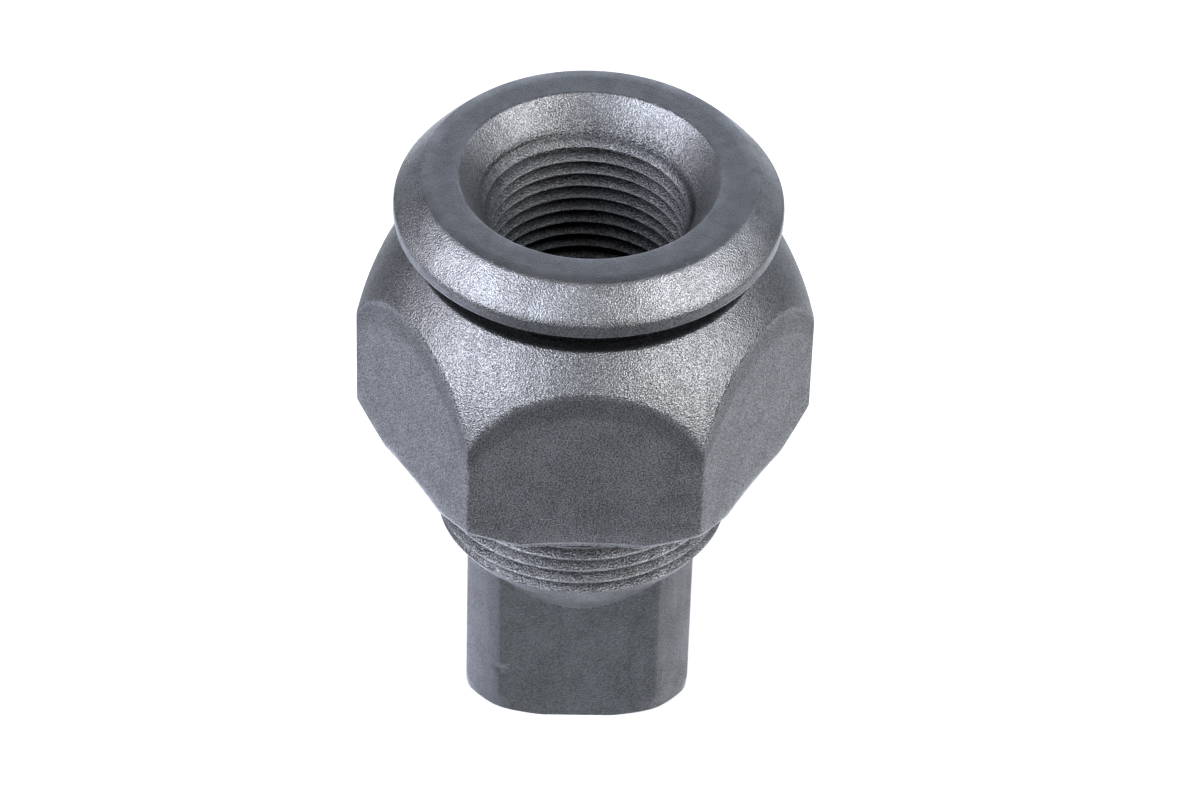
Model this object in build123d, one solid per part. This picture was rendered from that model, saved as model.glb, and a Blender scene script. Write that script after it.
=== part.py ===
from build123d import *
import os
from math import cos, pi, radians, sqrt, tan

# Two-piece wheel nut for a truck's twin wheels, standing on its square end.
# The inner nut is a sleeve: it screws onto the wheel stud and its flange holds the inner wheel.
# The outer nut is a hexagon that runs on the sleeve's outer thread and holds the outer wheel.
# The origin is the centre of the square end's face, and +Z is the thread axis.
# Both threads are drawn as plain cylinders at their outside diameter.

# Inner nut, overall
inner_length = 60.3
ball_seat_radius = 22.6

# Flange that carries the inner wheel's ball seat
flange_face_diameter = 31.4
flange_diameter = 36.8
rim_height = 1.45
rim_edge_radius = 0.3
face_edge_chamfer = 0.15
rim_edge_chamfer = 0.25

# Stud hole, M20 x 1.5, closed at the square end
stud_thread_diameter = 20.0
stud_thread_pitch = 1.5
stud_thread_length = 32.5
stud_drill_depth = 41.0
drill_point_angle = 118.0
countersink_diameter = 24.6
countersink_half_angle = 32.5
mouth_chamfer = 0.15

# Outer thread, 28.6 x 1.5
sleeve_thread_diameter = 28.6
sleeve_thread_pitch = 1.5
neck_length = 2.5
neck_relief = 0.1
runout_half_angle = 32.5
neck_corner_chamfer = 0.5
cone_overlap = 1.0

# Square drive
square_flats = 22.0
square_corner_diameter = 26.8
square_length = 14.8
square_end_diameter = 23.8
square_end_chamfer_angle = 37.0

# Outer nut
hex_flats = 38.1
outer_nut_height = 22.3
outer_nut_face_diameter = 33.3
outer_nut_end_diameter = 39.6
end_chamfer_angle = 36.0
end_dish_angle = 18.0
hex_edge_radius = 0.5
bore_chamfer = 0.95
nut_gap = 3.1

# Clearances, on the radius
thread_clearance = 0.06
stud_clearance = 0.05

# Depth of a 60 degree thread, as a share of its pitch
THREAD_DEPTH = 0.6134

# Levels and radii that follow
flange_radius = flange_diameter / 2
flange_face_radius = flange_face_diameter / 2
seat_drop = sqrt(ball_seat_radius**2 - flange_face_radius**2) - sqrt(ball_seat_radius**2 - flange_radius**2)
rim_top = inner_length - seat_drop
flange_underside = rim_top - rim_height

sleeve_radius = sleeve_thread_diameter / 2
sleeve_root_radius = sleeve_radius - THREAD_DEPTH * sleeve_thread_pitch
neck_radius = sleeve_root_radius - neck_relief
thread_top = flange_underside - neck_length
thread_end = square_length + (sleeve_radius - square_flats / 2) / tan(radians(runout_half_angle))

stud_bore_radius = stud_thread_diameter / 2 + stud_clearance
stud_drill_radius = stud_thread_diameter / 2 - THREAD_DEPTH * stud_thread_pitch
countersink_radius = countersink_diameter / 2
countersink_depth = (countersink_radius - stud_bore_radius) / tan(radians(countersink_half_angle))
stud_thread_bottom = inner_length - countersink_depth - stud_thread_length
drill_bottom = inner_length - stud_drill_depth
drill_point_height = stud_drill_radius / tan(radians(drill_point_angle / 2))

nut_top = flange_underside - nut_gap
nut_bottom = nut_top - outer_nut_height
nut_bore_radius = sleeve_radius + thread_clearance
nut_face_radius = outer_nut_face_diameter / 2
nut_end_radius = outer_nut_end_diameter / 2
hex_corner_radius = hex_flats / 2 / cos(pi / 6)
nut_ball_centre = nut_top - sqrt(ball_seat_radius**2 - nut_face_radius**2)


def ball_seat_arc(low, high):
    """Arc of the ball seat from the low to the high point, about a centre on the axis."""
    centre = high[1] - sqrt(ball_seat_radius**2 - high[0] ** 2)
    middle_z = (low[1] + high[1]) / 2
    middle_r = sqrt(ball_seat_radius**2 - (middle_z - centre) ** 2)
    return ThreePointArc((low[0], low[1]), (middle_r, middle_z), (high[0], high[1]))


def corner_at(profile, radius, height):
    """The profile's corner at the given radius and height."""
    return profile.vertices().sort_by_distance((radius, height, 0))[0]


def turn(profile):
    """Turns a profile, drawn as radius and height, about the thread axis."""
    return revolve(Plane.XZ * profile, Axis.Z)


def sleeve_body():
    """Flange, neck, threaded barrel and the cone that runs the thread out.

    The thread starts with a chamfer at the neck, and the cone's foot lies inside the square bar.
    """
    cone_foot = square_flats / 2 - cone_overlap
    cone_foot_z = thread_end - (sleeve_radius - cone_foot) / tan(radians(runout_half_angle))
    outline = Polyline(
        (flange_face_radius, inner_length),
        (0, inner_length),
        (0, cone_foot_z),
        (cone_foot, cone_foot_z),
        (sleeve_radius, thread_end),
        (sleeve_radius, thread_top - (sleeve_radius - neck_radius)),
        (neck_radius, thread_top),
        (neck_radius, flange_underside),
        (flange_radius, flange_underside),
        (flange_radius, rim_top),
    )
    seat = ball_seat_arc((flange_radius, rim_top), (flange_face_radius, inner_length))
    profile = make_face([outline, seat])
    profile = chamfer(corner_at(profile, flange_face_radius, inner_length), face_edge_chamfer)
    profile = fillet(corner_at(profile, flange_radius, rim_top), rim_edge_radius)
    profile = chamfer(corner_at(profile, flange_radius, flange_underside), rim_edge_chamfer)
    profile = chamfer(corner_at(profile, neck_radius, flange_underside), neck_corner_chamfer)
    return turn(profile)


def square_drive():
    """Square bar with turned corners and a turned chamfer round its end face."""
    corner_radius = square_corner_diameter / 2
    end_radius = square_end_diameter / 2
    chamfer_height = (corner_radius - end_radius) * tan(radians(square_end_chamfer_angle))
    top = thread_end - (sleeve_radius - corner_radius) / tan(radians(runout_half_angle))
    outline = Polyline(
        (0, 0),
        (end_radius, 0),
        (corner_radius, chamfer_height),
        (corner_radius, top),
        (0, top),
        close=True,
    )
    bar = extrude(Rectangle(square_flats, square_flats), top)
    return bar & turn(make_face(outline))


def stud_hole():
    """Countersunk mouth, threaded bore and the drilled end below it."""
    edge_depth = mouth_chamfer / tan(radians(countersink_half_angle))
    outline = Polyline(
        (0, inner_length),
        (countersink_radius + mouth_chamfer, inner_length),
        (countersink_radius - mouth_chamfer, inner_length - edge_depth),
        (stud_bore_radius, inner_length - countersink_depth),
        (stud_bore_radius, stud_thread_bottom),
        (stud_drill_radius, stud_thread_bottom),
        (stud_drill_radius, drill_bottom),
        (0, drill_bottom - drill_point_height),
        close=True,
    )
    return turn(make_face(outline))


def inner_nut():
    """Sleeve with its square end and the stud hole."""
    return sleeve_body() + square_drive() - stud_hole()


def hex_blank():
    """Hexagonal bar with its flats facing along Y."""
    section = RegularPolygon(hex_corner_radius, 6)
    bar = extrude(section, outer_nut_height)
    bar = fillet(bar.edges().filter_by(Axis.Z), hex_edge_radius)
    return Pos(0, 0, nut_bottom) * bar


def nut_envelope():
    """Turned outline: ball seat above, chamfered corners and a dished end below."""
    reach = max(hex_corner_radius, ball_seat_radius) + 1
    chamfer_top = nut_bottom + (reach - nut_end_radius) * tan(radians(end_chamfer_angle))
    dish_height = (nut_end_radius - nut_bore_radius) * tan(radians(end_dish_angle))
    outline = Polyline(
        (nut_face_radius, nut_top),
        (nut_bore_radius, nut_top),
        (nut_bore_radius, nut_bottom + dish_height),
        (nut_end_radius, nut_bottom),
        (reach, chamfer_top),
        (reach, nut_ball_centre),
        (ball_seat_radius, nut_ball_centre),
    )
    seat = ball_seat_arc((ball_seat_radius, nut_ball_centre), (nut_face_radius, nut_top))
    return turn(make_face([outline, seat]))


def bore_leads():
    """Lead-in chamfers at both mouths of the nut's threaded bore."""
    wide = nut_bore_radius + bore_chamfer
    dish_height = (nut_end_radius - wide) * tan(radians(end_dish_angle))
    low = nut_bottom + dish_height
    upper = Polyline(
        (0, nut_top),
        (wide, nut_top),
        (nut_bore_radius, nut_top - bore_chamfer),
        (0, nut_top - bore_chamfer),
        close=True,
    )
    lower = Polyline(
        (0, nut_bottom),
        (wide, nut_bottom),
        (wide, low),
        (nut_bore_radius, low + bore_chamfer),
        (0, low + bore_chamfer),
        close=True,
    )
    return turn(make_face(upper)) + turn(make_face(lower))


def outer_nut():
    """Hexagon nut with a ball seat towards the flange."""
    return (hex_blank() & nut_envelope()) - bore_leads()


def main():
    os.makedirs("parts", exist_ok=True)
    export_step(inner_nut(), "parts/inner_nut.step")
    export_step(outer_nut(), "parts/outer_nut.step")


main()
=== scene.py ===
from math import ceil, cos, floor, pi, radians, sin, sqrt, tan
from typing import NamedTuple

import bmesh
import bpy
import numpy as np
from mathutils import Matrix, Vector

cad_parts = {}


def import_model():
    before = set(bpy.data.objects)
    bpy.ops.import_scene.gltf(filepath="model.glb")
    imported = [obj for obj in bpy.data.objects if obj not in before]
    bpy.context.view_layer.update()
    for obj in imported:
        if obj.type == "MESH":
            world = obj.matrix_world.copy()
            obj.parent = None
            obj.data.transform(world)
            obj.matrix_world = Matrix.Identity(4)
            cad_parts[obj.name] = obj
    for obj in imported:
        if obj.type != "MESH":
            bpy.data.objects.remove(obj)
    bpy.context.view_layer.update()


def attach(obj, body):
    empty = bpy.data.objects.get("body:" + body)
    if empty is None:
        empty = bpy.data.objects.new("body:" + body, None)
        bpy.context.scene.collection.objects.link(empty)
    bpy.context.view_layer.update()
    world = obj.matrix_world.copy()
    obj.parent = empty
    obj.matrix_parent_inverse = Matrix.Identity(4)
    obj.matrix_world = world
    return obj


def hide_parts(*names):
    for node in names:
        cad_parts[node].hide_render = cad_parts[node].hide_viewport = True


# Looks of a two-piece wheel nut: a flanged sleeve with a square end, and the hexagon on it.
# Lengths are in millimetres until MM turns them into the scene's metres.
# The origin is the centre of the square end's face, and +Z is the thread axis.
MM = 0.001

# Ball that both seats belong to
BALL_RADIUS = 22.6

# Square end. Its upright edges, at SQUARE_EDGE degrees from the middle of each flat, are softer
# next to the end face, where they change over SOFT_HEIGHTS.
SQUARE_HALF = 11.0
SQUARE_CORNER = 13.4
SQUARE_EDGE = 34.82
SQUARE_LENGTH = 14.8
SQUARE_EDGE_SOFT = 0.15
SQUARE_END_SOFT = 0.9
SOFT_HEIGHTS = (0.8, 2.8)

# Chamfer round the end face: the face's radius and least distance from the sides, the chamfer's
# slope and least height, and the radius of a ring of points in the face
SQUARE_END = 11.4
SQUARE_END_MARGIN = 0.12
SQUARE_END_SLOPE = tan(radians(26.0))
SQUARE_END_HEIGHT = 0.1
SQUARE_END_RING = 6.0

# Inner nut. Its thread grows from nothing to its full depth between THREAD_LOW and THREAD_FULL.
INNER_LENGTH = 60.3
FLANGE_FACE_RADIUS = 15.7
FLANGE_RADIUS = 18.4
RIM_HEIGHT = 1.45
NECK_LENGTH = 2.5
NECK_RADIUS = 13.28
THREAD_RADIUS = 14.3
THREAD_ROOT = 13.38
THREAD_PITCH = 1.5
THREAD_LOW = 19.0
THREAD_FULL = 20.5
CONE_SLOPE = tan(radians(32.5))

# Distance of the seat's last row from the flange's face, and of the underside's from its rim
SEAT_END = 0.35
UNDERSIDE_END = 1.0

# Stud hole. Its thread has deeper grooves near the mouth, and is cut to full depth from STUD_FULL.
COUNTERSINK_RADIUS = 12.3
COUNTERSINK_SLOPE = tan(radians(32.5))
STUD_CREST = 9.08
STUD_ROOT = 10.2
STUD_PITCH = 1.5
STUD_LOW = 24.268
STUD_FULL = 26.0
STUD_HIGH = 57.6
STUD_TOP_DEPTH = 0.2
STUD_TOP_HEIGHTS = (55.2, 56.4)
DRILL_BOTTOM = 19.3
DRILL_TIP = 13.844

# Start of the stud thread in the countersink, by the distance below STUD_HIGH: depth of the first
# groove, and how much deeper the grooves may get over GROOVE_GROWS
GROOVE_START = 0.1
GROOVE_GROWTH = 1.2
GROOVE_GROWS = (1.2, 2.4)

# Outer nut. The bore's thread is cut outwards, clear of the sleeve's thread.
HEX_HALF = 19.05
HEX_CORNER_ROUND = 0.5
NUT_GAP = 3.1
NUT_HEIGHT = 22.3
NUT_FACE_RADIUS = 16.65
NUT_FACE_EDGE = 0.5
NUT_END_RADIUS = 19.8
NUT_CHAMFER_SLOPE = tan(radians(36.0))
NUT_DISH_SLOPE = tan(radians(18.0))
NUT_BORE = 14.368
NUT_ROOT = 14.96
NUT_LEAD_RADIUS = 15.31

# Lip at the hexagon's lower edge: how far it stands back from the flats, its least height, how
# far it hangs below the end, and its slope from the end's edge in towards the middle of a flat
LIP_DEPTH = 0.08
LIP_HEIGHT = 0.42
LIP_DROP = 0.24
LIP_SLOPE = tan(radians(22.0))


def ball_height(radius):
    """Height over the ball's centre at which the ball has the given radius."""
    return sqrt(BALL_RADIUS**2 - radius**2)


# Levels that follow
FLANGE_BALL_CENTRE = INNER_LENGTH - ball_height(FLANGE_FACE_RADIUS)
RIM_TOP = FLANGE_BALL_CENTRE + ball_height(FLANGE_RADIUS)
FLANGE_UNDERSIDE = RIM_TOP - RIM_HEIGHT
THREAD_TOP = FLANGE_UNDERSIDE - NECK_LENGTH
CONE_TOP = SQUARE_LENGTH + (THREAD_RADIUS - SQUARE_HALF) / CONE_SLOPE
NUT_TOP = FLANGE_UNDERSIDE - NUT_GAP
NUT_BOTTOM = NUT_TOP - NUT_HEIGHT
NUT_BALL_CENTRE = NUT_TOP - ball_height(NUT_FACE_RADIUS)

# Threads: share of a pitch past the crest's middle, share of the depth and of the crest's wear
THREAD_SHAPE = (
    (0.0, 0.0, 1.0),
    (0.03, 0.01, 1.0),
    (0.0625, 0.05, 0.5),
    (0.1, 0.12, 0.0),
    (0.38, 0.89, 0.0),
    (0.43, 0.965, 0.0),
    (0.5, 1.0, 0.0),
    (0.57, 0.965, 0.0),
    (0.62, 0.89, 0.0),
    (0.9, 0.12, 0.0),
    (0.9375, 0.05, 0.5),
    (0.97, 0.01, 1.0),
)
SLEEVE_CREST_AT = 18.58
STUD_CREST_AT = 54.12
NUT_CREST_AT = 31.0

# Columns: steps between the angles where a quarter of the square, or a sixth of the hexagon,
# changes, and the angle of the columns beside each edge of the square
SQUARE_COLUMNS = (12, 1, 1, 8, 1, 1, 12)
SQUARE_COLUMN_GAP = 0.9
HEX_COLUMNS = (1, 1, 34, 1, 1)

# Number of steps along each surface, and round a corner
SIDE_ROWS = 60
FLANGE_SEAT_ROWS = 7
FACE_ROWS = 3
DISH_ROWS = 4
FLAT_ROWS = 8
NUT_SEAT_ROWS = 14
ROUND_ROWS = 4

# Longest cut at a corner, as a share of the shorter side, and the least length of a side
CUT_SHARE = 0.45
LEAST_SIDE = 1e-6

# Distance of the plain row that keeps a thread's end out of its neighbour's shading
GUARD = 0.1

# Distance in metres within which points are one
WELD = 1e-7

# Strength of the coat's grain
PLAIN_GRAIN = 1.0
FACE_GRAIN = 0.4
SQUARE_GRAIN = 0.65
THREAD_GRAIN = 1.45
FLAT_GRAIN = 1.9

# Wear, which brightens the coat in patches, and on the flange's rim and the hexagon's lip also a
# painted highlight. On thin edges it is over 1, so that the patches join.
SQUARE_WEAR = 0.15
SQUARE_END_WEAR = 0.3
DENT_WEAR = 3
CONE_WEAR = 0.5
SLEEVE_CREST_WEAR = 0.7
STUD_CREST_WEAR = 0.4
SEAT_WEAR = 0.4
FACE_EDGE_WEAR = 0.5
LIP_LOW_WEAR_AND_HIGHLIGHT = 2.0
LIP_WEAR_AND_HIGHLIGHT = 1.2
SEAT_EDGE_WEAR = 0.12
NUT_FACE_WEAR = 0.3

# Wear of the rim's lower edge, middle and upper edge: all round, and extra to the left and right,
# where it is a painted highlight
RIM_WEAR_AND_HIGHLIGHT = ((0.1, 2.9), (0.0, 1.0), (0.1, 0.5))

# Painted shade, which darkens the coat where less light falls
GAP_PAINTED_SHADE = 0.95
RIM_FRONT_PAINTED_SHADE = 0.4
MOUTH_PAINTED_SHADE = 0.12
DRILL_PAINTED_SHADE = 1.2
DISH_PAINTED_SHADE = 0.6
FLAT_PAINTED_SHADE = 0.35
SEAT_EDGE_PAINTED_SHADE = 0.25

# Painted shade in a band along the top of the flats: extra shade at distances below the seat's edge
FLAT_TOP_PAINTED_SHADE = ((3.4, 0.0), (2.7, 0.3), (2.0, 0.38), (1.3, 0.4), (0.8, 0.4))

# Edge of the countersink: distance outside its radius, depth, wear, painted shade and grain
MOUTH_EDGE = (
    (0.2, 0.0, 0.2, 0.0, FACE_GRAIN),
    (0.04, 0.03, 0.5, 0.0, PLAIN_GRAIN),
    (-0.08, 0.16, 0.4, MOUTH_PAINTED_SHADE, PLAIN_GRAIN),
)

# Painted shade on the sleeve's thread: with the depth, more from ROOT_FROM of the depth on, and for
# GAP_TURNS below the outer nut's top as in the gap over it
FLANK_PAINTED_SHADE = 0.5
ROOT_PAINTED_SHADE = 1.0
ROOT_FROM = 0.75
GAP_TURNS = 2

# Painted shadow on that thread, below the hexagon's front flat: strength, degrees, and distances
# below the hexagon at which it starts and is full
FRONT_SHADOW_STRENGTH = 1.4
FRONT_SHADOW_AT = 270
FRONT_SHADOW_SPREAD = 20
FRONT_SHADOW_BELOW = (5.0, 3.9)

# Turns of the stud thread, by the distance below STUD_HIGH: over LOW_TURNS their crests get their
# wear, and the shares of the depth at which a groove's painted shade starts and is full change
# from those of the top groove to those of the low grooves
LOW_TURNS = (0.6, 2.4)
TOP_GROOVE = (0.6, 1.0)
LOW_GROOVE = (0.2, 0.75)

# Painted shade of the grooves near STUD_HIGH and further down, and the distances over which it
# starts and over which it changes
GROOVE_PAINTED_SHADE = (1.1, 1.5)
GROOVE_SHADE_STARTS = (0.0, 1.4)
GROOVE_SHADE_GROWS = (0, 10)

# Painted shade of the stud hole's far end, and the distances over which it grows
HOLE_PAINTED_SHADE = 0.5
HOLE_SHADE_GROWS = (8, 20)

# Small dents in the square's edges: degrees, height, half width in degrees, half height and depth
DENTS = (
    (235.6, 6.3, 1.6, 0.4, 0.22),
    (236.4, 5.9, 1.0, 0.25, 0.15),
    (236.6, 16.3, 1.0, 0.15, 0.12),
    (55.2, 9.0, 1.5, 0.5, 0.15),
    (124.0, 4.2, 1.4, 0.35, 0.15),
)

# Noises of the coat: scale, detail and roughness. The streaks are stretched instead of scaled.
GRAIN_NOISE = (6400.0, 1.5, 0.5)
CLOUD_NOISE = (300.0, 4.0, 0.65)
STREAK_NOISE = (1.0, 3.0, 0.5)

# Pattern of the coat: share of each noise, and the mean about which the grain's strength works
GRAIN_SHARE = 0.75
CLOUD_SHARE = 0.15
STREAK_SHARE = 0.15
PATTERN_MEAN = 0.45

# Streaks of each coat: size in metres along each axis, and tilt
SLEEVE_STREAKS = ((0.0011, 0.0011, 0.008), 0.0)
NUT_STREAKS = ((0.0007, 0.0007, 0.012), radians(-35.0))

# Colours of the coat at two values of the pattern, where it is worn and given painted highlights,
# and where shade is painted
COAT_TONES = ((0.395, (0.175, 0.18, 0.189)), (0.655, (0.48, 0.49, 0.51)))
WORN_AND_LIT_COLOUR = (0.62, 0.64, 0.68, 1)
PAINTED_SHADE_COLOUR = (0.03, 0.032, 0.035, 1)
PAINTED_SHADE_STRENGTH = 0.6

# Patches in the wear and painted highlights, from the clouds, and roughness, from the pattern
WEAR_AND_HIGHLIGHT_PATCHES = {"From Min": 0.4, "From Max": 0.62, "To Min": 0.25, "To Max": 0.95}
ROUGHNESS = {"To Min": 0.5, "To Max": 0.34}
BUMP = {"Strength": 1.0, "Distance": 0.00012}

# Floor: half its width in metres, how far it lies below the nut, its finish and its mottling
FLOOR_HALF = 2.0
FLOOR_DROP = 0.02
FLOOR_FINISH = {
    "Roughness": 0.9,
    "Specular IOR Level": 0.1,
    "Emission Color": (1, 1, 1, 1),
    "Emission Strength": 0.62,
}
FLOOR_NOISE = (30.0, 3.0, 0.5)
FLOOR_TONES = ((0.0, (0.86, 0.86, 0.86)), (1.0, (0.9, 0.9, 0.9)))

# Surroundings as the nut sees them: soft patches of light by azimuth from the front to the right,
# elevation, strength and colour
SKY_PATCHES = (
    (-177, 20, 0.95, (0.91, 0.97, 1.12)),
    (150, 11, 0.52, (0.9, 0.99, 1.11)),
    (-112, 43, 0.2, (0.93, 0.97, 1.1)),
    (-130, -62, 1.85, (0.9, 0.96, 1.14)),
    (93, -58, 0.86, (0.99, 0.97, 1.04)),
    (8, -66, 0.5, (0.91, 1.01, 1.08)),
    (-175, -22, 1.35, (0.93, 0.98, 1.09)),
    (178, -52, 1.7, (0.93, 0.99, 1.08)),
    (148, -44, 1.12, (0.95, 1.0, 1.05)),
    (-95, -42, 0.28, (1.0, 0.95, 1.1)),
    (178, -80, 0.3, (1.0, 0.98, 1.0)),
    (0, 2, 0.55, (0.97, 0.99, 1.03)),
)
PATCH_SHARPNESS = 14.0
SKY_REST = (0.02, 0.02, 0.022)
SKY_SEEN = (1, 1, 1, 1)

# Area lights, LIGHT_DISTANCE metres away: azimuth, elevation, width, power and colour
LIGHT_DISTANCE = 0.6
LIGHTS = {
    "key_left": (-52, 24, 0.42, 1.98, (0.94, 0.985, 1.09)),
    "key_right": (54, 23, 0.32, 1.68, (1.02, 1.0, 0.97)),
    "side_left": (-75, 20, 0.4, 1.17, (1.0, 0.96, 1.04)),
    "side_right": (72, 17, 0.36, 0.52, (0.99, 0.97, 1.04)),
    "high_left": (-85, 45, 0.35, 0.2, (0.94, 0.98, 1.08)),
    "high_right": (85, 45, 0.35, 0.52, (0.94, 1.0, 1.06)),
    "overhead": (0, 75, 0.3, 0.2, (1.0, 1.0, 1.0)),
}

# Camera, as fitted to the photograph
CAMERA_AZIMUTH = radians(1.504)
CAMERA_ELEVATION = radians(41.37)
CAMERA_DISTANCE = 533.669
CAMERA_ROLL = radians(1.829)
CAMERA_AIM_RIGHT = 1.63
CAMERA_AIM_HEIGHT = 32.233
CAMERA_NEAR = 0.01
LENS = 165.17
SENSOR = 36.0


def ramp(value, low, high):
    """0 below low, 1 above high, and smooth between."""
    t = np.clip((value - low) / (high - low), 0, 1)
    return t * t * (3 - 2 * t)


def between(start, end, share):
    """Value at a share of the way from start to end."""
    return start + (end - start) * share


def square_radius(degrees, soft=SQUARE_EDGE_SOFT):
    """Radius of the square bar with turned corners, its edges softly rounded."""
    flat = SQUARE_HALF / np.cos(np.radians((degrees + 45) % 90 - 45))
    blend = np.clip(0.5 + 0.5 * (SQUARE_CORNER - flat) / soft, 0, 1)
    return between(SQUARE_CORNER, flat, blend) - soft * blend * (1 - blend)


def hex_radius(degrees):
    """Radius of the hexagon with rounded corners; its corners are on X."""
    flat = HEX_HALF / np.cos(np.radians(degrees % 60 - 30))
    off_corner = np.radians((degrees + 30) % 60 - 30)
    centre = (HEX_HALF - HEX_CORNER_ROUND) / cos(pi / 6)
    inside = np.maximum(HEX_CORNER_ROUND**2 - (centre * np.sin(off_corner)) ** 2, 0)
    arc = centre * np.cos(off_corner) + np.sqrt(inside)
    on_arc = np.abs(off_corner) < hex_round_angle()
    return np.where(on_arc, np.minimum(arc, flat), flat)


def hex_round_angle():
    """Half the angle that a rounded corner of the hexagon takes up, seen from the axis."""
    side = HEX_CORNER_ROUND * tan(pi / 6)
    corner = HEX_HALF / cos(pi / 6)
    return np.arctan2(side * cos(pi / 6), corner - side * sin(pi / 6))


def angles_between(stops, steps):
    """Angles that step evenly from stop to stop."""
    parts = [np.linspace(a, b, n, endpoint=False) for a, b, n in zip(stops, stops[1:], steps)]
    return np.concatenate(parts)


def square_angles():
    """Columns of the inner nut, with some on the square's edges."""
    gap = SQUARE_COLUMN_GAP
    first, second = SQUARE_EDGE, 90 - SQUARE_EDGE
    edges = (first - gap, first, first + gap, second - gap, second, second + gap)
    quarter = angles_between((0, *edges, 90), SQUARE_COLUMNS)
    return np.concatenate([quarter + 90 * k for k in range(4)] + [[360.0]])


def hex_angles():
    """Columns of the outer nut, with some on the hexagon's rounded corners."""
    c = np.degrees(hex_round_angle())
    sixth = angles_between((0, c / 2, c, 60 - c, 60 - c / 2, 60), HEX_COLUMNS)
    return np.concatenate([sixth + 60 * k for k in range(6)] + [[360.0]])


class Corner(NamedTuple):
    """Corner of a profile; radius, height, wear with its painted highlights, and painted shade may
    have one entry for each angle.

    The corner is cut back by cut and rounded. A grain holds from its corner on.
    """

    radius: object
    height: object
    cut: float = 0
    wear: object = 0
    soil: object = 0
    grain: float | None = None


class Loft:
    """Rows of points at fixed angles, each row with a radius, a height, wear with painted
    highlights, painted shade and grain.
    """

    def __init__(self, degrees):
        self.degrees = degrees
        self.rows = []
        self.grain = PLAIN_GRAIN

    def add(self, radius, height, wear, soil):
        """One row; each value is a number or has one entry for each angle."""
        blank = np.zeros_like(self.degrees)
        values = (radius, height, wear, soil, self.grain)
        self.rows.append(np.stack([blank + value for value in values], axis=-1))

    def corners(self, points):
        """Rows along a profile. Its first and last corner aren't cut."""
        blank = np.zeros_like(self.degrees)
        place = [np.stack([blank + p.radius, blank + p.height], axis=-1) for p in points]
        for k, (radius, height, cut, wear, soil, grain) in enumerate(points):
            if grain is not None:
                self.grain = grain
            if cut:
                self.round_corner(*place[k - 1 : k + 2], cut, wear, soil)
            else:
                self.add(radius, height, wear, soil)

    def round_corner(self, before, corner, after, cut, wear, soil):
        """Rows round one corner, from cut before it to cut after it; its wear and painted highlight
        are strongest in its middle.
        """
        back, ahead = before - corner, after - corner
        back_length, ahead_length = (
            np.maximum(np.linalg.norm(side, axis=-1, keepdims=True), LEAST_SIDE)
            for side in (back, ahead)
        )
        reach = np.minimum(cut, CUT_SHARE * np.minimum(back_length, ahead_length))
        start = corner + back / back_length * reach
        end = corner + ahead / ahead_length * reach
        for step in range(ROUND_ROWS + 1):
            t = step / ROUND_ROWS
            spot = (1 - t) ** 2 * start + 2 * t * (1 - t) * corner + t**2 * end
            self.add(spot[:, 0], spot[:, 1], wear * 4 * t * (1 - t), soil)

    def thread(self, pitch, crest_at, low, high, surface, rising=True):
        """Rows that follow a right-hand thread between two heights.

        At a height, a share of the thread's depth and a share of the crest's wear, surface gives
        the radius, wear and painted shade.
        """
        first = floor((low - crest_at) / pitch) - 1
        last = ceil((high - crest_at) / pitch)
        marks = [(turn, *shape) for turn in range(first, last + 1) for shape in THREAD_SHAPE]
        for turn, phase, depth, crest in marks if rising else reversed(marks):
            height = crest_at + (turn + phase + self.degrees / 360) * pitch
            height = np.clip(height, low, high)
            radius, wear, soil = surface(height, depth, crest)
            self.add(radius, height, wear, soil)

    def build(self, name, closed):
        """Mesh object of the rows, welded along its seam.

        A closed loft's last row meets its first.
        """
        grid = np.array(self.rows)
        turn = np.radians(self.degrees)
        radius, height = grid[..., 0] * MM, grid[..., 1] * MM
        points = np.stack([radius * np.cos(turn), radius * np.sin(turn), height], axis=-1)
        index = np.arange(radius.size).reshape(radius.shape)
        if closed:
            low, high = index, np.roll(index, -1, axis=0)
        else:
            low, high = index[:-1], index[1:]
        faces = np.stack([low[:, :-1], low[:, 1:], high[:, 1:], high[:, :-1]], axis=-1)
        mesh = bpy.data.meshes.new(name)
        mesh.from_pydata(points.reshape(-1, 3).tolist(), [], faces.reshape(-1, 4).tolist())
        for column, layer in ((2, "wear"), (3, "soil"), (4, "grain")):
            attribute = mesh.attributes.new(layer, "FLOAT", "POINT")
            attribute.data.foreach_set("value", grid[..., column].ravel().astype(np.float32))
        weld(mesh)
        mesh.shade_smooth()
        piece = bpy.data.objects.new(name, mesh)
        bpy.context.scene.collection.objects.link(piece)
        piece.modifiers.new("even_shading", "WEIGHTED_NORMAL")
        return piece


def weld(mesh):
    """Joins points that lie on one another and turns all faces outwards."""
    bm = bmesh.new()
    bm.from_mesh(mesh)
    bmesh.ops.remove_doubles(bm, verts=bm.verts, dist=WELD)
    bmesh.ops.dissolve_degenerate(bm, edges=bm.edges, dist=WELD)
    bmesh.ops.recalc_face_normals(bm, faces=bm.faces)
    bm.to_mesh(mesh)
    bm.free()


def run(start, end, steps, **finish):
    """Plain corners on a straight run between two (radius, height) ends, without the ends."""
    shares = [k / steps for k in range(1, steps)]
    return [
        Corner(between(start[0], end[0], s), between(start[1], end[1], s), **finish) for s in shares
    ]


def seat_arc(centre, low_radius, high_radius, steps, **finish):
    """Corners along a ball seat, from its lower to its higher edge, without the ends."""
    start, end = np.arcsin(low_radius / BALL_RADIUS), np.arcsin(high_radius / BALL_RADIUS)
    tilts = [between(start, end, k / steps) for k in range(1, steps)]
    return [
        Corner(BALL_RADIUS * np.sin(t), centre + BALL_RADIUS * np.cos(t), **finish) for t in tilts
    ]


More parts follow.
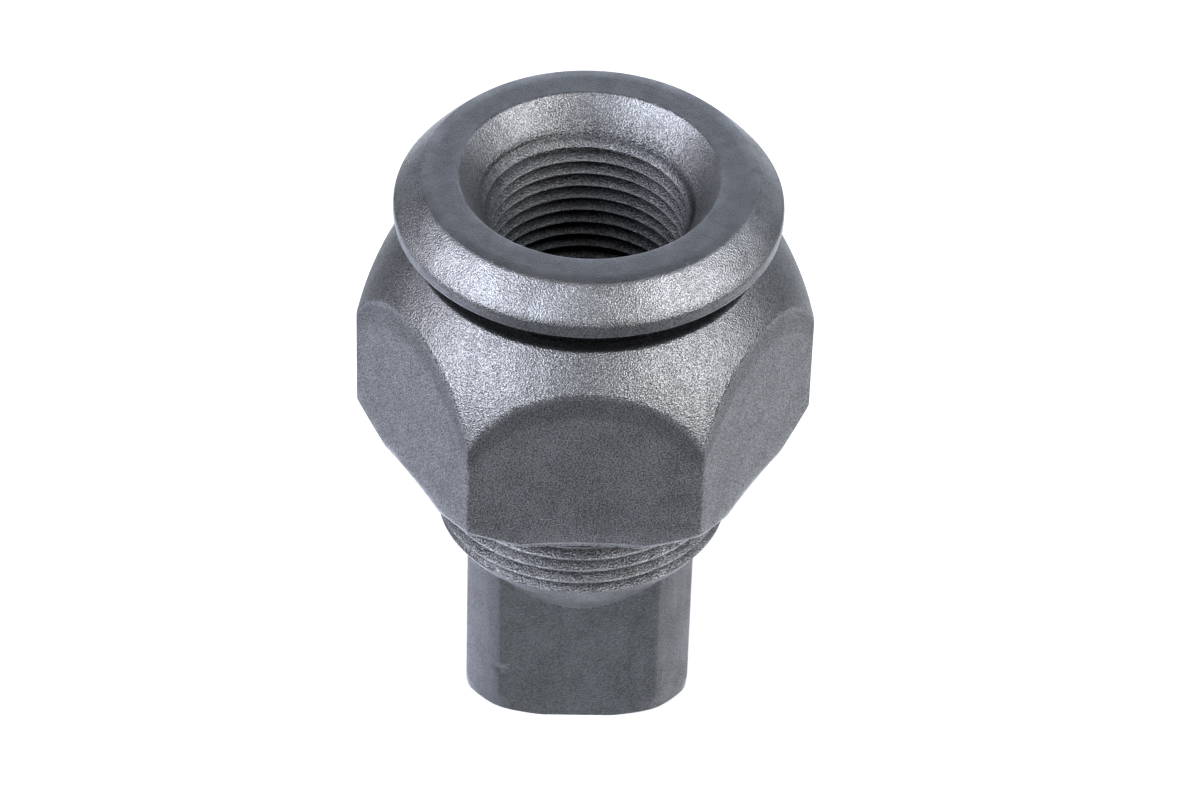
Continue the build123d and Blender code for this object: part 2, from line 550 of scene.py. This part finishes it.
def painted_front_shadow(height):
    """Strength of the painted shadow on the thread below the outer nut's front flat."""
    across = np.exp(-(((square_angles() - FRONT_SHADOW_AT) / FRONT_SHADOW_SPREAD) ** 2))
    starts, fills = (NUT_BOTTOM - below for below in FRONT_SHADOW_BELOW)
    return across * ramp(height, starts, fills)


def dents(degrees, height):
    """Depth of the small dents at a height, one entry for each angle."""
    total = np.zeros_like(degrees)
    for at, level, half_width, half_height, depth in DENTS:
        near = ((degrees - at) / half_width) ** 2 + ((height - level) / half_height) ** 2
        total = total + depth * np.exp(-near)
    return total


def sleeve_surface(height, depth, crest):
    """Radius, wear and soil of the sleeve's thread at a height, share of its depth and of wear."""
    cone = THREAD_RADIUS - (CONE_TOP - height) * CONE_SLOPE
    lead = THREAD_RADIUS - (height - (THREAD_TOP - (THREAD_RADIUS - NECK_RADIUS)))
    outline = np.minimum(np.minimum(cone, lead), THREAD_RADIUS)
    cut = ramp(height, THREAD_LOW, THREAD_FULL)
    thread = THREAD_RADIUS - (THREAD_RADIUS - THREAD_ROOT) * depth * cut
    wear = SLEEVE_CREST_WEAR * crest * cut + CONE_WEAR * (1 - cut)
    # Painted shade: darker down the flanks and in the roots, and near the gap under the flange.
    soil = (FLANK_PAINTED_SHADE * depth + ROOT_PAINTED_SHADE * ramp(depth, ROOT_FROM, 1.0)) * cut
    # A painted shadow falls on the thread below the hexagon's front flat.
    soil = soil + FRONT_SHADOW_STRENGTH * painted_front_shadow(height)
    in_gap = ramp(height, NUT_TOP - GAP_TURNS * THREAD_PITCH, NUT_TOP)
    return np.minimum(outline, thread), wear, soil + GAP_PAINTED_SHADE * in_gap


def stud_surface(height, depth, crest):
    """The same for the stud hole, whose thread starts in the countersink."""
    countersink = COUNTERSINK_RADIUS - (INNER_LENGTH - height) * COUNTERSINK_SLOPE
    base = np.maximum(countersink, STUD_CREST)
    below_mouth = STUD_HIGH - height
    root = STUD_ROOT + STUD_TOP_DEPTH * ramp(height, *STUD_TOP_HEIGHTS)
    cut = ramp(height, STUD_LOW, STUD_FULL)
    thread = STUD_CREST + (root - STUD_CREST) * depth * cut
    deepest = GROOVE_START * depth + GROOVE_GROWTH * ramp(below_mouth, *GROOVE_GROWS)
    groove = np.clip(thread - base, 0, deepest)

    # Painted shade: darker in the grooves, more further down, and darkest towards the hole's far
    # end.
    low_turns = ramp(below_mouth, *LOW_TURNS)
    starts, fills = (between(a, b, low_turns) for a, b in zip(TOP_GROOVE, LOW_GROOVE))
    in_groove = ramp(depth, starts, fills) * ramp(below_mouth, *GROOVE_SHADE_STARTS)
    soil = between(*GROOVE_PAINTED_SHADE, ramp(below_mouth, *GROOVE_SHADE_GROWS)) * in_groove
    soil = MOUTH_PAINTED_SHADE + soil + HOLE_PAINTED_SHADE * ramp(below_mouth, *HOLE_SHADE_GROWS)
    return base + groove, STUD_CREST_WEAR * crest * low_turns, soil


def nut_surface(height, depth, _crest):
    """The same for the outer nut's bore, with a lead-in chamfer at each mouth and no wear."""
    lead = NUT_LEAD_RADIUS - NUT_BORE
    upper = NUT_BORE + height - (NUT_TOP - lead)
    lower = NUT_BORE + nut_bore_bottom() + lead - height
    thread = NUT_BORE + (NUT_ROOT - NUT_BORE) * depth
    # The whole bore gets the gap's painted shade.
    return np.maximum(np.maximum(upper, lower), thread), 0, GAP_PAINTED_SHADE


def nut_bore_bottom():
    """Height at which the dish meets the lead-in chamfer of the bore."""
    return NUT_BOTTOM + (NUT_END_RADIUS - NUT_LEAD_RADIUS) * NUT_DISH_SLOPE


def square_sides(degrees, low, high):
    """Corners up the sides of the square, with its dents and the softer edges next to its end."""
    corners = []
    for spot in run(low, high, SIDE_ROWS):
        soft = between(SQUARE_END_SOFT, SQUARE_EDGE_SOFT, ramp(spot.height, *SOFT_HEIGHTS))
        dent = dents(degrees, spot.height)
        radius = square_radius(degrees, soft) - dent
        corners.append(Corner(radius, spot.height, wear=SQUARE_WEAR + DENT_WEAR * dent))
    return corners


def square_end(loft):
    """End face, square and the cone up to the thread."""
    bar = square_radius(loft.degrees)
    end_bar = square_radius(loft.degrees, SQUARE_END_SOFT)
    end = np.minimum(end_bar - SQUARE_END_MARGIN, SQUARE_END)
    end_top = np.maximum((end_bar - SQUARE_END) * SQUARE_END_SLOPE, SQUARE_END_HEIGHT)
    crease = CONE_TOP - (THREAD_RADIUS - bar) / CONE_SLOPE
    thread_foot = THREAD_RADIUS - (CONE_TOP - THREAD_LOW) * CONE_SLOPE
    loft.corners([
        Corner(0, 0, grain=SQUARE_GRAIN),
        Corner(SQUARE_END_RING, 0),
        Corner(end, 0, cut=0.4, wear=SQUARE_END_WEAR),
        Corner(end_bar, end_top, cut=1.1, wear=SQUARE_END_WEAR),
        *square_sides(loft.degrees, (bar, end_top), (bar, crease)),
        Corner(bar, crease, cut=0.12, wear=SQUARE_WEAR),
        Corner(thread_foot, THREAD_LOW, wear=CONE_WEAR),
    ])


def flange(loft):
    """Neck, underside, rim and ball seat of the flange."""
    # The rim's edges get a painted highlight to the left and right, and painted shade at the front.
    sideways = np.cos(np.radians(loft.degrees)) ** 2
    low_wear, middle_wear, high_wear = (plain + extra * sideways for plain, extra in RIM_WEAR_AND_HIGHLIGHT)
    front_soil = RIM_FRONT_PAINTED_SHADE * (1 - sideways) ** 3
    seat_end = FLANGE_FACE_RADIUS + SEAT_END
    seat_end_height = FLANGE_BALL_CENTRE + ball_height(seat_end)
    # The neck and the flange's underside get painted shade, as in the gap's shadow.
    loft.corners([
        Corner(NECK_RADIUS, THREAD_TOP, soil=GAP_PAINTED_SHADE, grain=PLAIN_GRAIN),
        Corner(NECK_RADIUS, THREAD_TOP + GUARD, soil=GAP_PAINTED_SHADE),
        Corner(NECK_RADIUS, FLANGE_UNDERSIDE, cut=0.5, soil=GAP_PAINTED_SHADE),
        Corner(FLANGE_RADIUS - UNDERSIDE_END, FLANGE_UNDERSIDE, soil=GAP_PAINTED_SHADE),
        Corner(FLANGE_RADIUS, FLANGE_UNDERSIDE, cut=0.3, wear=low_wear, soil=front_soil),
        Corner(FLANGE_RADIUS, RIM_TOP - RIM_HEIGHT / 2, wear=middle_wear, soil=front_soil),
        Corner(FLANGE_RADIUS, RIM_TOP, cut=0.25, wear=high_wear, soil=front_soil),
        *seat_arc(
            FLANGE_BALL_CENTRE, FLANGE_RADIUS, FLANGE_FACE_RADIUS, FLANGE_SEAT_ROWS, wear=SEAT_WEAR
        ),
        Corner(seat_end, seat_end_height, wear=SEAT_WEAR),
    ])


def mouth(loft):
    """Face of the flange, and the countersink down to the stud thread."""
    face_edge = (FLANGE_FACE_RADIUS, INNER_LENGTH)
    hole_edge = (COUNTERSINK_RADIUS, INNER_LENGTH)
    above_thread = COUNTERSINK_RADIUS - (INNER_LENGTH - STUD_HIGH - GUARD) * COUNTERSINK_SLOPE
    # Painted shade starts low in the countersink.
    loft.corners([
        Corner(*face_edge, wear=FACE_EDGE_WEAR, grain=FACE_GRAIN),
        *run(face_edge, hole_edge, FACE_ROWS),
        *[
            Corner(COUNTERSINK_RADIUS + out, INNER_LENGTH - down, 0, *finish)
            for out, down, *finish in MOUTH_EDGE
        ],
        Corner(above_thread, STUD_HIGH + GUARD, soil=MOUTH_PAINTED_SHADE),
        Corner(above_thread - GUARD * COUNTERSINK_SLOPE, STUD_HIGH, soil=MOUTH_PAINTED_SHADE),
    ])


def drill_end(loft):
    """Drilled end of the stud hole, with its point."""
    middle = (DRILL_BOTTOM + DRILL_TIP) / 2
    # The drilled end gets painted shade, as a deep recess.
    loft.corners([
        Corner(STUD_CREST, STUD_LOW - GUARD, soil=DRILL_PAINTED_SHADE),
        Corner(STUD_CREST, DRILL_BOTTOM, soil=DRILL_PAINTED_SHADE),
        Corner(STUD_CREST / 2, middle, soil=DRILL_PAINTED_SHADE),
        Corner(0, DRILL_TIP, soil=DRILL_PAINTED_SHADE),
    ])


def inner_nut():
    """Sleeve with flange, threads and square end, from the end face up and down into the hole."""
    loft = Loft(square_angles())
    square_end(loft)
    loft.grain = THREAD_GRAIN
    loft.thread(THREAD_PITCH, SLEEVE_CREST_AT, THREAD_LOW, THREAD_TOP, sleeve_surface)
    flange(loft)
    mouth(loft)
    loft.grain = THREAD_GRAIN
    loft.thread(STUD_PITCH, STUD_CREST_AT, STUD_LOW, STUD_HIGH, stud_surface, rising=False)
    drill_end(loft)
    return loft.build("inner_nut_body", closed=False)


def outer_nut():
    """Hexagon with its ball seat, dished end and threaded bore."""
    loft = Loft(hex_angles())
    side = hex_radius(loft.degrees)
    seat_low = NUT_BALL_CENTRE + np.sqrt(BALL_RADIUS**2 - side**2)
    dish = (NUT_END_RADIUS - side) * NUT_DISH_SLOPE
    chamfer = (side - NUT_END_RADIUS) * NUT_CHAMFER_SLOPE
    rim = np.minimum(side - LIP_DEPTH, NUT_END_RADIUS)
    rim_low = NUT_BOTTOM - LIP_DROP + (NUT_END_RADIUS - rim) * LIP_SLOPE
    lip = np.maximum(NUT_BOTTOM + np.maximum(dish, chamfer), rim_low + LIP_HEIGHT)
    band_low = seat_low - FLAT_TOP_PAINTED_SHADE[0][0]
    bore_bottom = nut_bore_bottom()
    # Painted shade darkens the dish, the flats with a darker band under the seat, the seat's edge
    # and the top face inside the gap.
    loft.corners([
        Corner(NUT_LEAD_RADIUS, bore_bottom, soil=DISH_PAINTED_SHADE, grain=FLAT_GRAIN),
        *run((NUT_LEAD_RADIUS, bore_bottom), (rim, rim_low), DISH_ROWS),
        # The lip's two edges get a painted highlight besides their wear.
        Corner(rim, rim_low, cut=0.08, wear=LIP_LOW_WEAR_AND_HIGHLIGHT),
        Corner(side, lip, cut=0.25, wear=LIP_WEAR_AND_HIGHLIGHT),
        *run((side, lip), (side, band_low), FLAT_ROWS, soil=FLAT_PAINTED_SHADE),
        *[Corner(side, seat_low - below, soil=FLAT_PAINTED_SHADE + soil) for below, soil in FLAT_TOP_PAINTED_SHADE],
        Corner(side, seat_low, cut=0.6, wear=SEAT_EDGE_WEAR, soil=SEAT_EDGE_PAINTED_SHADE),
        *seat_arc(NUT_BALL_CENTRE, side, NUT_FACE_RADIUS, NUT_SEAT_ROWS, grain=PLAIN_GRAIN),
        Corner(NUT_FACE_RADIUS, NUT_TOP, cut=0.2, wear=NUT_FACE_WEAR),
        Corner(NUT_FACE_RADIUS - NUT_FACE_EDGE, NUT_TOP, soil=GAP_PAINTED_SHADE),
        Corner(NUT_LEAD_RADIUS, NUT_TOP, soil=GAP_PAINTED_SHADE),
    ])
    loft.thread(THREAD_PITCH, NUT_CREST_AT, bore_bottom, NUT_TOP, nut_surface, rising=False)
    return loft.build("outer_nut_body", closed=True)


def feed(tree, target, inputs):
    """Sets a node's inputs, each to a value or to another node's output."""
    for key, value in inputs.items():
        if isinstance(value, bpy.types.NodeSocket):
            tree.links.new(value, target.inputs[key])
        else:
            target.inputs[key].default_value = value


def node(tree, kind, place, inputs, **settings):
    """A shader node with its settings and inputs."""
    made = tree.nodes.new(kind)
    made.location = place
    for key, value in settings.items():
        setattr(made, key, value)
    feed(tree, made, inputs)
    return made


def math_node(tree, place, operation, *values):
    """Result of a math node."""
    inputs = dict(enumerate(values))
    return node(tree, "ShaderNodeMath", place, inputs, operation=operation).outputs[0]


def vector_node(tree, place, operation, *values):
    """A vector math node."""
    inputs = dict(enumerate(values))
    return node(tree, "ShaderNodeVectorMath", place, inputs, operation=operation)


def noise_node(tree, place, noise, **inputs):
    """Value of a noise, given as scale, detail and roughness."""
    inputs.update(zip(("Scale", "Detail", "Roughness"), noise))
    return node(tree, "ShaderNodeTexNoise", place, inputs).outputs["Fac"]


def layer_node(tree, place, layer):
    """Value of one of the mesh's layers."""
    return node(tree, "ShaderNodeAttribute", place, {}, attribute_name=layer).outputs["Fac"]


def range_node(tree, place, value, limits):
    """A value mapped from one range to another."""
    return node(tree, "ShaderNodeMapRange", place, {"Value": value, **limits}).outputs["Result"]


def tone_node(tree, place, value, tones):
    """Colour by a value, between two tones, each a position and a colour."""
    made = node(tree, "ShaderNodeValToRGB", place, {"Fac": value})
    for element, (position, colour) in zip(made.color_ramp.elements, tones):
        element.position = position
        element.color = (*colour, 1)
    return made.outputs["Color"]


def mix_node(tree, place, share, colour, other):
    """Colour that a share of another is mixed into."""
    inputs = {"Factor": share, "A": colour, "B": other}
    return node(tree, "ShaderNodeMix", place, inputs, data_type="RGBA").outputs["Result"]


def coat_pattern(tree, streak_size, streak_tilt):
    """Light and dark pattern of the coat, and the clouds in it."""
    place = node(tree, "ShaderNodeTexCoord", (-1600, 0), {}).outputs["Object"]
    stretch = {"Vector": place, "Scale": streak_size, "Rotation": (streak_tilt, 0, 0)}
    stretched = node(tree, "ShaderNodeMapping", (-1400, -300), stretch, vector_type="TEXTURE")
    grain = noise_node(tree, (-1200, 300), GRAIN_NOISE, Vector=place)
    clouds = noise_node(tree, (-1200, 0), CLOUD_NOISE, Vector=place)
    streaks = noise_node(tree, (-1200, -300), STREAK_NOISE, Vector=stretched.outputs["Vector"])

    strength = layer_node(tree, (-1000, 500), "grain")
    fine = math_node(tree, (-1000, 300), "MULTIPLY", grain, GRAIN_SHARE)
    mixed = math_node(tree, (-950, 0), "MULTIPLY_ADD", clouds, CLOUD_SHARE, fine)
    centred = math_node(tree, (-850, 100), "SUBTRACT", mixed, PATTERN_MEAN)
    scaled = math_node(tree, (-750, 300), "MULTIPLY_ADD", centred, strength, PATTERN_MEAN)
    pattern = math_node(tree, (-950, -300), "MULTIPLY_ADD", streaks, STREAK_SHARE, scaled)
    return pattern, clouds


def coat_colour(tree, pattern, clouds):
    """Colour of the coat: its tone, bright where it is worn and where highlights are painted, and
    dark where shade is painted.
    """
    tone = tone_node(tree, (-700, 200), pattern, COAT_TONES)
    patches = range_node(tree, (-950, -800), clouds, WEAR_AND_HIGHLIGHT_PATCHES)
    wear = layer_node(tree, (-950, -550), "wear")
    worn_and_lit = math_node(tree, (-700, -450), "MULTIPLY", wear, patches)
    soil = layer_node(tree, (-700, -650), "soil")
    soiled = math_node(tree, (-550, -550), "MULTIPLY", soil, PAINTED_SHADE_STRENGTH)
    brightened = mix_node(tree, (-400, 200), worn_and_lit, tone, WORN_AND_LIT_COLOUR)
    return mix_node(tree, (-200, 200), soiled, brightened, PAINTED_SHADE_COLOUR)


def coated_steel(name, streak_size, streak_tilt):
    """Dark grey metallic coat with fine grain, cloudy tone, faint marks, worn edges with painted
    highlights, and painted shade.
    """
    material = bpy.data.materials.new(name)
    material.use_nodes = True
    tree = material.node_tree
    pattern, clouds = coat_pattern(tree, streak_size, streak_tilt)
    bump = node(tree, "ShaderNodeBump", (-200, -300), {"Height": pattern, **BUMP})
    feed(tree, tree.nodes["Principled BSDF"], {
        "Metallic": 1.0,
        "Base Color": coat_colour(tree, pattern, clouds),
        "Roughness": range_node(tree, (-400, -100), pattern, ROUGHNESS),
        "Normal": bump.outputs["Normal"],
    })
    return material


def floor_material():
    """Matt white with a trace of mottling."""
    material = bpy.data.materials.new("pale_floor")
    material.use_nodes = True
    tree = material.node_tree
    mottle = noise_node(tree, (-700, 0), FLOOR_NOISE)
    tone = tone_node(tree, (-400, 0), mottle, FLOOR_TONES)
    feed(tree, tree.nodes["Principled BSDF"], {"Base Color": tone, **FLOOR_FINISH})
    material.cycles.emission_sampling = "NONE"
    return material


def pale_floor():
    """Floor that the nut stands on.

    It is only for the camera: the nut's lower light comes from the sky.
    """
    mesh = bpy.data.meshes.new("floor")
    corners = [(x * FLOOR_HALF, y * FLOOR_HALF, 0) for x, y in ((-1, -1), (1, -1), (1, 1), (-1, 1))]
    mesh.from_pydata(corners, [], [(0, 1, 2, 3)])
    mesh.materials.append(floor_material())
    piece = bpy.data.objects.new("floor", mesh)
    piece.location.z = -FLOOR_DROP * MM
    bpy.context.scene.collection.objects.link(piece)
    piece.visible_glossy = False
    piece.visible_diffuse = False
    piece.visible_shadow = False


def way_to(azimuth, elevation):
    """Direction from the nut; the azimuth is from the front, to the right."""
    a, e = radians(azimuth), radians(elevation)
    return Vector((sin(a) * cos(e), -cos(a) * cos(e), sin(e)))


def soft_light(name, azimuth, elevation, width, power, colour):
    """Square area light that faces the nut."""
    data = bpy.data.lights.new(name, "AREA")
    data.size = width
    data.energy = power
    data.color = colour
    light = bpy.data.objects.new(name, data)
    way = way_to(azimuth, elevation)
    light.location = Vector((0, 0, CAMERA_AIM_HEIGHT * MM)) + way * LIGHT_DISTANCE
    light.rotation_euler = way.to_track_quat("Z", "Y").to_euler()
    light.visible_camera = False
    bpy.context.scene.collection.objects.link(light)


def patch_glow(tree, y, place, direction):
    """Glow that falls off softly from 1 in a direction."""
    nearness = vector_node(tree, (-1200, y), "DOT_PRODUCT", place, direction).outputs["Value"]
    sharpness = PATCH_SHARPNESS
    power = math_node(tree, (-1000, y), "MULTIPLY_ADD", nearness, sharpness, -sharpness)
    return math_node(tree, (-800, y), "EXPONENT", power)


def sky_light(tree):
    """Light of the surroundings: the rest, and one soft patch after the other."""
    place = node(tree, "ShaderNodeTexCoord", (-1400, 0), {}).outputs["Generated"]
    rest = dict(zip("XYZ", SKY_REST))
    total = node(tree, "ShaderNodeCombineXYZ", (-600, 300), rest).outputs["Vector"]
    for k, (azimuth, elevation, strength, colour) in enumerate(SKY_PATCHES):
        y = -200 * k
        glow = patch_glow(tree, y, place, way_to(azimuth, elevation))
        light = [strength * channel for channel in colour]
        patch = vector_node(tree, (-600, y), "MULTIPLY_ADD", glow, light, total)
        total = patch.outputs["Vector"]
    return total


def sky():
    """Plain soft surroundings: white to the camera, and soft patches of light for the nut."""
    world = bpy.data.worlds.new("studio")
    bpy.context.scene.world = world
    world.use_nodes = True
    tree = world.node_tree
    path = node(tree, "ShaderNodeLightPath", (-600, 500), {})
    by_camera = path.outputs["Is Camera Ray"]
    seen = mix_node(tree, (-300, 0), by_camera, sky_light(tree), SKY_SEEN)
    feed(tree, tree.nodes["Background"], {"Color": seen})


def camera():
    """Camera at the photograph's viewing angle."""
    ca, sa = cos(CAMERA_AZIMUTH), sin(CAMERA_AZIMUTH)
    ce, se = cos(CAMERA_ELEVATION), sin(CAMERA_ELEVATION)
    ahead = Vector((sa * ce, ca * ce, -se))
    right = Vector((ca, -sa, 0))
    up = right.cross(ahead)
    aim = Vector((0, 0, CAMERA_AIM_HEIGHT)) + CAMERA_AIM_RIGHT * right
    place = (aim - CAMERA_DISTANCE * ahead) * MM
    cr, sr = cos(CAMERA_ROLL), sin(CAMERA_ROLL)
    across, upward = cr * right + sr * up, cr * up - sr * right
    data = bpy.data.cameras.new("camera")
    data.lens = LENS
    data.sensor_width = SENSOR
    data.clip_start = CAMERA_NEAR
    view = bpy.data.objects.new("camera", data)
    turn = Matrix((across, upward, -ahead)).transposed().to_4x4()
    view.matrix_world = Matrix.Translation(place) @ turn
    bpy.context.scene.collection.objects.link(view)
    bpy.context.scene.camera = view


def main():
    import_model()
    bpy.context.scene.view_settings.view_transform = "Standard"

    sleeve = inner_nut()
    sleeve.data.materials.append(coated_steel("sleeve_coat", *SLEEVE_STREAKS))
    hexagon = outer_nut()
    hexagon.data.materials.append(coated_steel("nut_coat", *NUT_STREAKS))
    for piece, body, cad_node, slot in (
        (sleeve, "sleeve", "inner_nut", "coated_steel_sleeve"),
        (hexagon, "hexagon", "outer_nut", "coated_steel_nut"),
    ):
        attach(piece, body)
        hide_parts(cad_node)

    pale_floor()
    sky()
    for name, light in LIGHTS.items():
        soft_light(name, *light)
    camera()


main()
